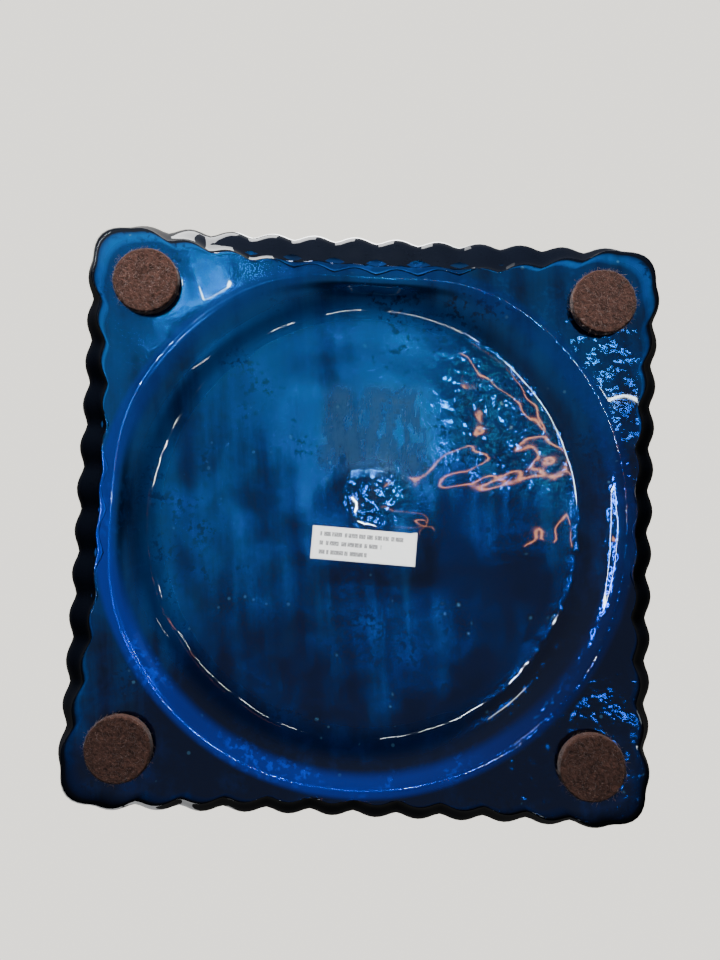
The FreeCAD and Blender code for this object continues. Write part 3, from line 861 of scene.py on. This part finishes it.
def adhesive_finish(name, tint):
    """A thin layer of clear adhesive: a little cloudy, with dust along its edge."""
    made = Finish(name)
    cloud = made.noise(300.0, 4.0, 0.65)
    dust = made.between(made.noise(1500.0, 2.0), 0.60, 0.70)
    base = made.mix(cloud, [c * 0.6 for c in tint], tint)
    base = made.mix(dust * 0.6, base, (0.20, 0.17, 0.15))
    made.set(
        Base_Color=base, Roughness=0.22 + cloud * 0.3, IOR=1.47,
        Normal=made.bump(cloud, 0.00008))
    return made.material


# ---- felt and paper finishes
def felt_finish(colours):
    """Pressed felt: matted fibres of several browns, with paler flecks."""
    made = Finish("brown_felt")
    tufts = made.noise(420.0, 5.0, 0.7, distortion=2.2)
    matted = made.noise(1.0, 4.0, 0.75, made.mapped(scale=(2300.0, 700.0, 900.0), turn=0.7))
    crossing = made.noise(1.0, 4.0, 0.75, made.mapped(scale=(800.0, 2500.0, 900.0), turn=-0.4))
    flecks = made.between(made.noise(2600.0, 2.0, 0.6), 0.66, 0.74)
    light = [c * 2.6 for c in colours.felt]
    dark = [c * 0.16 for c in colours.felt]
    base = made.mix(made.between(tufts * 0.45 + matted * 0.3 + crossing * 0.3, 0.38, 0.68),
                    dark, light)
    base = made.mix(flecks * 0.45, base, (0.30, 0.21, 0.17))
    made.set(
        Base_Color=base, Roughness=0.88 + tufts * 0.12, Sheen_Weight=0.06,
        Sheen_Roughness=0.5, Specular_IOR_Level=0.15,
        Normal=made.bump(matted * 0.5 + crossing * 0.5 + tufts, 0.00045, 0.9))
    return made.material


def fibre_finish(colours):
    """Loose fibres that stand off the felt."""
    made = Finish("felt_fibres")
    tone = made.noise(700.0, 2.0)
    base = made.mix(made.between(tone, 0.35, 0.65),
                    [c * 0.8 for c in colours.felt], [c * 3.0 for c in colours.felt])
    made.set(
        Base_Color=base, Roughness=0.8, Sheen_Weight=0.3, Specular_IOR_Level=0.2,
        Normal=made.bump(made.noise(4000.0, 2.0), 0.00003))
    return made.material


def paper_finish(colours, middle, turn, size):
    """Matt white paper with pulp fibres, a grubby edge and three rows of worn grey dashes."""
    made = Finish("label_paper")
    flat = made.mapped(turn=-turn, centre=middle)
    u, v = made.axis("X", flat), made.axis("Y", flat)
    pulp = made.noise(1400.0, 5.0, 0.7)
    mottle = made.noise(160.0, 3.0)
    base = made.mix(pulp * 0.5 + mottle * 0.5,
                    [c * 0.86 for c in colours.paper], colours.paper)
    edge_u = made.between(u.absolute(), size.x / 2 - 1.0 * MM, size.x / 2)
    edge_v = made.between(v.absolute(), size.y / 2 - 0.8 * MM, size.y / 2)
    base = made.mix(edge_u.most(edge_v) * mottle * 0.55, base, (0.46, 0.43, 0.38))
    ink = None
    for row, (level, reach) in enumerate(((-2.8, 12.2), (0.0, 5.6), (2.8, 1.4))):
        line = made.between((v - level * MM).absolute(), 0.74 * MM, 0.60 * MM)
        line *= made.between(u, reach * MM, (reach - 0.4) * MM)
        line *= made.between(u, -14.0 * MM, -13.6 * MM)
        shifted = made.mapped(scale=(820.0, 0.0, 0.0), turn=-turn,
                              centre=middle + Vector((0.031 * row, 0, 0)))
        line *= made.between(made.noise(1.0, 1.0, 0.5, shifted), 0.43, 0.46)
        ink = line if ink is None else ink.most(line)
    worn = made.between(made.noise(2600.0, 3.0), 0.30, 0.55)
    base = made.mix(ink * (0.45 + worn * 0.4), base, (0.07, 0.07, 0.075))
    made.set(
        Base_Color=base, Roughness=0.72 + pulp * 0.2, Specular_IOR_Level=0.3,
        Normal=made.bump(pulp + mottle * 0.5, 0.00006, 0.7))
    return made.material


# ---- felt pads and label
def pad_rows(low, high, edge):
    """A pad's outline, from the middle of its lower face round to the middle of its upper."""
    radius = (high.x - low.x) / 2
    soft = []
    for angle in steps(15, 90, 5):
        bend = math.radians(angle)
        soft.append((radius - edge + edge * math.sin(bend), edge - edge * math.cos(bend)))
    rows = [(0.0, low.z)]
    rows += [(reach, low.z) for reach in steps(radius * 0.05, radius - edge, 22)]
    rows += [(reach, low.z + rise) for reach, rise in soft]
    rows += [(radius, z) for z in steps(low.z + edge * 1.3, high.z - edge * 1.3, 5)]
    rows += [(reach, high.z - rise) for reach, rise in reversed(soft)]
    rows += [(radius * share, high.z) for share in (0.7, 0.3, 0.0)]
    return rows


def matted_pad(low, high, seed):
    """A disc of pressed felt with a pitted face, a soft edge and loose fibres."""
    chance = random.Random(seed)
    middle = (low + high) / 2
    columns = 120
    edge = 0.7 * MM

    def locate(row, column):
        angle = column / columns * 2 * math.pi
        return Vector((middle.x + row[0] * math.cos(angle),
                       middle.y + row[0] * math.sin(angle), row[1]))

    def depth(place):
        if place.z >= high.z - edge * 0.5:
            return 0.0
        spot = place * 900 + Vector((seed, seed, 0))
        pits = max(0.0, noise.noise(spot) + 0.4 * noise.noise(spot * 2.7) + 0.5)
        swell = max(0.0, noise.noise(place * 130) + 0.5)
        return 0.11 * MM * pits + 0.12 * MM * swell

    bm = blown(pad_rows(low, high, edge), columns, locate)
    sink(bm, depth)
    for vert in bm.verts:
        vert.co.z = max(vert.co.z, low.z)
    radius = (high.x - low.x) / 2
    for _ in range(8):
        strands = bmesh.new()
        for _ in range(65):
            add_fibre(strands, chance, middle, radius, low, high)
        tuft = bpy.data.meshes.new("tuft")
        strands.to_mesh(tuft)
        strands.free()
        bm.from_mesh(tuft)
        bpy.data.meshes.remove(tuft)
    return bm


def add_fibre(bm, chance, middle, radius, low, high):
    """One loose fibre: two thin straight lengths with a bend between them."""
    angle = chance.uniform(0, 2 * math.pi)
    out = Vector((math.cos(angle), math.sin(angle), 0))
    if chance.random() < 0.72:
        start = middle + out * radius * 0.97 * math.sqrt(chance.random())
        start.z = low.z + chance.uniform(0.05, 0.22) * MM
        heading = Vector((chance.uniform(-1, 1), chance.uniform(-1, 1), 0))
    else:
        start = middle + out * radius * 0.985
        start.z = chance.uniform(low.z + 0.3 * MM, high.z - 0.4 * MM)
        around = Vector((-out.y, out.x, chance.uniform(-0.6, 0.6)))
        heading = around + out * chance.uniform(0.1, 0.5)
    heading.normalize()
    thickness = chance.uniform(0.020, 0.042) * MM
    for _ in range(2):
        length = chance.uniform(0.4, 1.25) * MM
        turned = heading.to_track_quat("Z", "Y").to_matrix().to_4x4()
        made = bmesh.ops.create_cone(
            bm, cap_ends=True, segments=3, radius1=thickness, radius2=thickness * 0.7,
            depth=length, matrix=Matrix.Translation(start + heading * length / 2) @ turned)
        for vert in made["verts"]:
            vert.co.z = min(max(vert.co.z, low.z), high.z)
            for face in vert.link_faces:
                face.material_index = 1
        start = start + heading * length * 0.97
        sideways = Vector((chance.uniform(-0.7, 0.7), chance.uniform(-0.7, 0.7),
                           chance.uniform(-0.08, 0.08)))
        heading = (heading + sideways).normalized()
        start.z = max(start.z, low.z + thickness)


def label_sheet(glass, middle, size, turn):
    """The label: a thin curved sheet with a torn nub at one corner and worn edges."""
    bm = bmesh.new()
    bmesh.ops.create_grid(bm, x_segments=64, y_segments=24, size=0.5)
    rotation = Matrix.Rotation(turn, 2)
    for vert in bm.verts:
        u, v = vert.co.x, vert.co.y
        rim = max(abs(u), abs(v)) * 2
        worn = ease((rim - 0.9) * 10)
        ragged = 0.05 * MM * noise.noise(Vector((u * 60, v * 20, 1.0))) * worn
        flat = Vector((u * size.x, v * size.y))
        flat *= 1 - 0.006 * worn
        flat.y += ragged
        flat.x += ragged * 0.6
        corner = (u - 0.5) ** 2 * 9 + (v + 0.5) ** 2
        if corner < 0.035:
            flat.y -= 0.35 * MM * (1 - corner / 0.035)
        spot = rotation @ flat + middle.xy
        curl = max(0.0, noise.noise(Vector((u * 5, v * 5, 4))))
        lift = 0.05 * MM * ease((rim - 0.86) * 6) * curl
        z = roof_level(glass, spot.length) - LABEL_GLUE - lift
        vert.co = Vector((spot.x, spot.y, z))
    under = bmesh.ops.extrude_face_region(bm, geom=bm.faces[:])
    for item in under["geom"]:
        if isinstance(item, bmesh.types.BMVert):
            item.co.z -= LABEL_THICKNESS
    bmesh.ops.recalc_face_normals(bm, faces=bm.faces)
    return bm


# ---- operators
class CANDLESTICK_OT_foot(bpy.types.Operator):
    """Blow the square foot, with its kick-up, flutes and thick dark edge"""

    bl_idname = "candlestick.foot"
    bl_label = "Foot"

    def execute(self, context):
        glass, colours = sizes_and_colours(context)
        finish = silvered_glass("silvered_foot_glass", colours, glass, under_foot=True)
        shape = FootShape(glass)
        piece = piece_from(shape.build(), "square_foot", finish)
        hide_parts("foot_glass")
        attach(piece, "root")
        film = piece_from(shape.film(), "foot_mirror_film", silvering_finish())
        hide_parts("foot_silvering")
        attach(film, "root")
        return {"FINISHED"}


class CANDLESTICK_OT_stem(bpy.types.Operator):
    """Blow the hollow stem, with its waists, beads and swirled knop"""

    bl_idname = "candlestick.stem"
    bl_label = "Stem"

    def execute(self, context):
        glass, colours = sizes_and_colours(context)
        finish = silvered_glass("silvered_stem_glass", colours, glass)
        clear = between_joints(STEM_LOW.z + 14 * MM, STEM_HIGH.z - 14 * MM, 6 * MM)
        piece = round_glass(
            "hollow_stem", stem_rows(glass), glass.knop_ribs, glass.knop_ribs * 12, finish,
            height=glass.waviness * 0.6, size=22 * MM, seed=5, freedom=clear)
        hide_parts("stem_glass")
        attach(piece, "root")
        return {"FINISHED"}


class CANDLESTICK_OT_dish(bpy.types.Operator):
    """Blow the round dish, with its beaded lip and swirled gadroons"""

    bl_idname = "candlestick.dish"
    bl_label = "Dish"

    def execute(self, context):
        glass, colours = sizes_and_colours(context)
        finish = silvered_glass("silvered_dish_glass", colours, glass)
        clear = between_joints(DISH_LOW.z + 10 * MM, math.inf, 8 * MM)
        piece = round_glass(
            "gadrooned_dish", dish_rows(glass), glass.gadroons, glass.gadroons * 13, finish,
            height=glass.waviness * 0.7, size=28 * MM, seed=9, freedom=clear)
        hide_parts("dish_glass")
        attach(piece, "root")
        return {"FINISHED"}


class CANDLESTICK_OT_pads(bpy.types.Operator):
    """Press the four felt pads and stick them to the foot"""

    bl_idname = "candlestick.pads"
    bl_label = "Felt pads"

    def execute(self, context):
        _, colours = sizes_and_colours(context)
        felt = felt_finish(colours)
        fibres = fibre_finish(colours)
        glue = adhesive_finish("pad_adhesive", (0.50, 0.42, 0.30))
        for seed, corner in enumerate(CORNERS, start=11):
            low, high = PADS[corner]
            piece = piece_from(matted_pad(low, high, seed), "matted_pad_" + corner, felt)
            piece.data.materials.append(fibres)
            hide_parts("felt_pad_" + corner)
            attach(piece, "root")
            finish_node("pad_adhesive_" + corner, glue)
        return {"FINISHED"}


class CANDLESTICK_OT_label(bpy.types.Operator):
    """Lay the white paper label on the kick-up's roof"""

    bl_idname = "candlestick.label"
    bl_label = "Label"

    def execute(self, context):
        glass, colours = sizes_and_colours(context)
        middle = (LABEL_LOW + LABEL_HIGH) / 2
        size = Vector((LABEL_LENGTH, LABEL_WIDTH))
        finish = paper_finish(colours, middle, LABEL_TURN, size)
        piece = piece_from(label_sheet(glass, middle, size, LABEL_TURN), "paper_label", finish,
                           smooth=False)
        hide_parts("label_paper")
        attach(piece, "root")
        finish_node("label_adhesive", adhesive_finish("label_adhesive", (0.78, 0.78, 0.74)))
        return {"FINISHED"}


class CANDLESTICK_OT_inner_layers(bpy.types.Operator):
    """Finish the silvering inside the glass and the cement of the two joints"""

    bl_idname = "candlestick.inner_layers"
    bl_label = "Silvering and cement"

    def execute(self, context):
        silvering = silvering_finish()
        cement = cement_finish()
        for name in ("stem_silvering", "dish_silvering"):
            finish_node(name, silvering)
        for name in ("foot_cement", "dish_cement"):
            finish_node(name, cement)
        return {"FINISHED"}


class CANDLESTICK_OT_stage(bpy.types.Operator):
    """Lay a pale floor, hang the studio lights and set the camera below the foot"""

    bl_idname = "candlestick.stage"
    bl_label = "Stage"

    def execute(self, context):
        scene = context.scene
        _, colours = sizes_and_colours(context)
        floor = piece_from(floor_sheet(), "floor", floor_finish(colours))
        floor.visible_glossy = False
        floor.visible_diffuse = False
        floor.visible_transmission = False
        floor.visible_shadow = False
        sky(scene, colours)
        for light in LIGHTS:
            add_light(scene, *light)
        add_camera(scene)
        return {"FINISHED"}


# ---- the stage
# Name, place in metres, width and height in metres, roll in degrees, power in watts, colour,
# and what it reaches: matt surfaces, mirrors, or both.
COOL = (0.80, 0.93, 1.0)
WARM = (1.0, 0.38, 0.16)
SOFT = (0.97, 0.985, 1.0)
LIGHTS = (
    ("window_strip", (-0.70, -0.30, -0.56), (0.95, 0.011), 4, 4.2, COOL, "mirrors"),
    ("warm_side_strip", (-0.72, -0.36, -0.60), (0.80, 0.005), -7, 0.34, WARM, "mirrors"),
    ("warm_strip_a", (0.10, -0.06, -0.88), (0.09, 0.0017), 20, 0.020, WARM, "mirrors"),
    ("warm_strip_b", (0.085, -0.03, -0.88), (0.07, 0.0015), 95, 0.013, WARM, "mirrors"),
    ("warm_strip_c", (0.13, -0.02, -0.88), (0.08, 0.0015), -40, 0.015, WARM, "mirrors"),
    ("small_strip", (0.025, -0.012, -0.90), (0.03, 0.0030), 35, 0.12, COOL, "mirrors"),
    ("corner_strip_a", (0.387, -0.198, -0.90), (0.12, 0.004), 60, 0.13, COOL, "mirrors"),
    ("corner_strip_b", (0.386, 0.323, -0.90), (0.12, 0.006), 120, 0.30, COOL, "mirrors"),
    ("corner_strip_c", (-0.24, -0.32, -0.90), (0.10, 0.005), 20, 0.17, COOL, "mirrors"),
    ("side_fill", (0.75, -0.45, -0.55), (0.20, 0.20), 0, 0.025, COOL, "mirrors"),
    ("near_key", (-0.05, -0.30, -0.13), (0.12, 0.12), 0, 6.8, SOFT, "matt"),
    ("front_sheen", (-0.34, -1.12, 0.42), (0.62, 0.40), 0, 6.0, SOFT, "both"),
    ("overhead", (0.15, -0.55, 1.35), (0.9, 0.9), 0, 26.0, SOFT, "both"),
    ("back_light", (-0.60, 0.85, 0.90), (0.6, 0.6), 0, 12.0, SOFT, "both"),
)


def floor_sheet():
    """A wide flat floor at the level of the pads' undersides."""
    bm = bmesh.new()
    bmesh.ops.create_grid(bm, x_segments=2, y_segments=2, size=6.0)
    return bm


def floor_finish(colours):
    """A pale matt floor that isn't seen from below."""
    made = Finish("pale_floor")
    grain = made.noise(3.0, 4.0)
    base = made.mix(grain, [c * 0.97 for c in colours.backdrop], colours.backdrop)
    made.set(
        Base_Color=base, Roughness=0.9, Specular_IOR_Level=0.1,
        Emission_Color=tuple(colours.backdrop), Emission_Strength=0.55)
    below = made.node("NewGeometry", out="Backfacing")
    clear = made.node("BsdfTransparent")
    shown = made.node("MixShader", sockets={
        0: below, 1: Socket(made.tree, made.shader.outputs[0]), 2: clear})
    made.tree.links.new(shown.link, made.tree.nodes["Material Output"].inputs["Surface"])
    return made.material


def sky(scene, colours):
    """A plain pale surround to look at, and a dimmer, uneven room for the glass to mirror."""
    world = bpy.data.worlds.new("studio")
    world.use_nodes = True
    scene.world = world
    room = Nodes(world.node_tree, "Generated")
    x, y, z = room.axis("X"), room.axis("Y"), room.axis("Z")
    above = room.between(z, -0.25, 0.75)
    level_ring = room.between(z.absolute(), 0.55, 0.15)
    pale_side = room.between(x * -0.7 - y * 0.7, 0.0, 0.7)
    level = (0.34 + above * 0.14 + pale_side * 0.10) * (1.0 - level_ring * 0.85)
    tone = room.mix(above, (0.80, 0.90, 1.0), (1.0, 0.98, 0.94))
    mirrored = room.node("Background", sockets={0: tone, 1: level})
    plain = room.node("Background", sockets={0: (*colours.backdrop, 1.0), 1: 2.9})
    seen = room.node("LightPath", out="Is Camera Ray")
    both = room.node("MixShader", sockets={0: seen, 1: mirrored, 2: plain})
    room.tree.links.new(both.link, room.tree.nodes["World Output"].inputs["Surface"])


def add_light(scene, name, place, size, roll, power, colour, reach):
    """A rectangular light that faces the foot from below, or the dish from above."""
    lamp = bpy.data.lights.new(name, "AREA")
    lamp.shape = "RECTANGLE"
    lamp.size, lamp.size_y = size
    lamp.energy = power
    lamp.color = colour
    light = bpy.data.objects.new(name, lamp)
    aim = Vector((0, 0, 0.15 if place[2] > 0 else 0.0)) - Vector(place)
    facing = aim.to_track_quat("-Z", "Y").to_matrix().to_4x4()
    rolled = Matrix.Rotation(math.radians(roll), 4, "Z")
    light.matrix_world = Matrix.Translation(place) @ facing @ rolled
    light.visible_camera = False
    light.visible_glossy = reach != "matt"
    light.visible_diffuse = reach != "mirrors"
    scene.collection.objects.link(light)


def add_camera(scene):
    """The camera looks up at the underside of the foot from a hand's reach away."""
    lens = bpy.data.cameras.new("camera")
    lens.lens = 27.0
    lens.sensor_width = 36.0
    lens.clip_start = 0.01
    camera = bpy.data.objects.new("camera", lens)
    right = Vector((0.99898, -0.04263, -0.01463))
    down = Vector((0.04336, 0.99762, 0.05364))
    ahead = Vector((0.01231, -0.05422, 0.99845))
    turned = Matrix((right, -down, -ahead)).transposed().to_4x4()
    camera.matrix_world = Matrix.Translation((-0.00485, -0.00045, -0.2094)) @ turned
    scene.collection.objects.link(camera)
    scene.camera = camera


# ---- sidebar
class CANDLESTICK_PT_build(bpy.types.Panel):
    """Builds the candlestick, piece by piece"""

    bl_idname = "CANDLESTICK_PT_build"
    bl_label = "Candlestick"
    bl_space_type = "VIEW_3D"
    bl_region_type = "UI"
    bl_category = "Candlestick"

    def draw(self, context):
        layout = self.layout
        for operator in OPERATORS:
            layout.operator(operator.bl_idname)
        for title, group in zip(("Glass", "Finishes"), sizes_and_colours(context)):
            box = layout.box()
            box.label(text=title)
            for name in group.__annotations__:
                box.prop(group, name)


OPERATORS = (
    CANDLESTICK_OT_foot,
    CANDLESTICK_OT_stem,
    CANDLESTICK_OT_dish,
    CANDLESTICK_OT_pads,
    CANDLESTICK_OT_label,
    CANDLESTICK_OT_inner_layers,
    CANDLESTICK_OT_stage,
)
CLASSES = (GlassSettings, FinishSettings, *OPERATORS, CANDLESTICK_PT_build)


def register():
    for item in CLASSES:
        bpy.utils.register_class(item)
    bpy.types.Scene.candlestick_glass = PointerProperty(type=GlassSettings)
    bpy.types.Scene.candlestick_finish = PointerProperty(type=FinishSettings)


def unregister():
    del bpy.types.Scene.candlestick_finish
    del bpy.types.Scene.candlestick_glass
    for item in reversed(CLASSES):
        bpy.utils.unregister_class(item)


def main():
    register()
    bpy.ops.candlestick.foot()
    bpy.ops.candlestick.stem()
    bpy.ops.candlestick.dish()
    bpy.ops.candlestick.pads()
    bpy.ops.candlestick.label()
    bpy.ops.candlestick.inner_layers()
    bpy.ops.candlestick.stage()


if __name__ == "__main__":
    main()
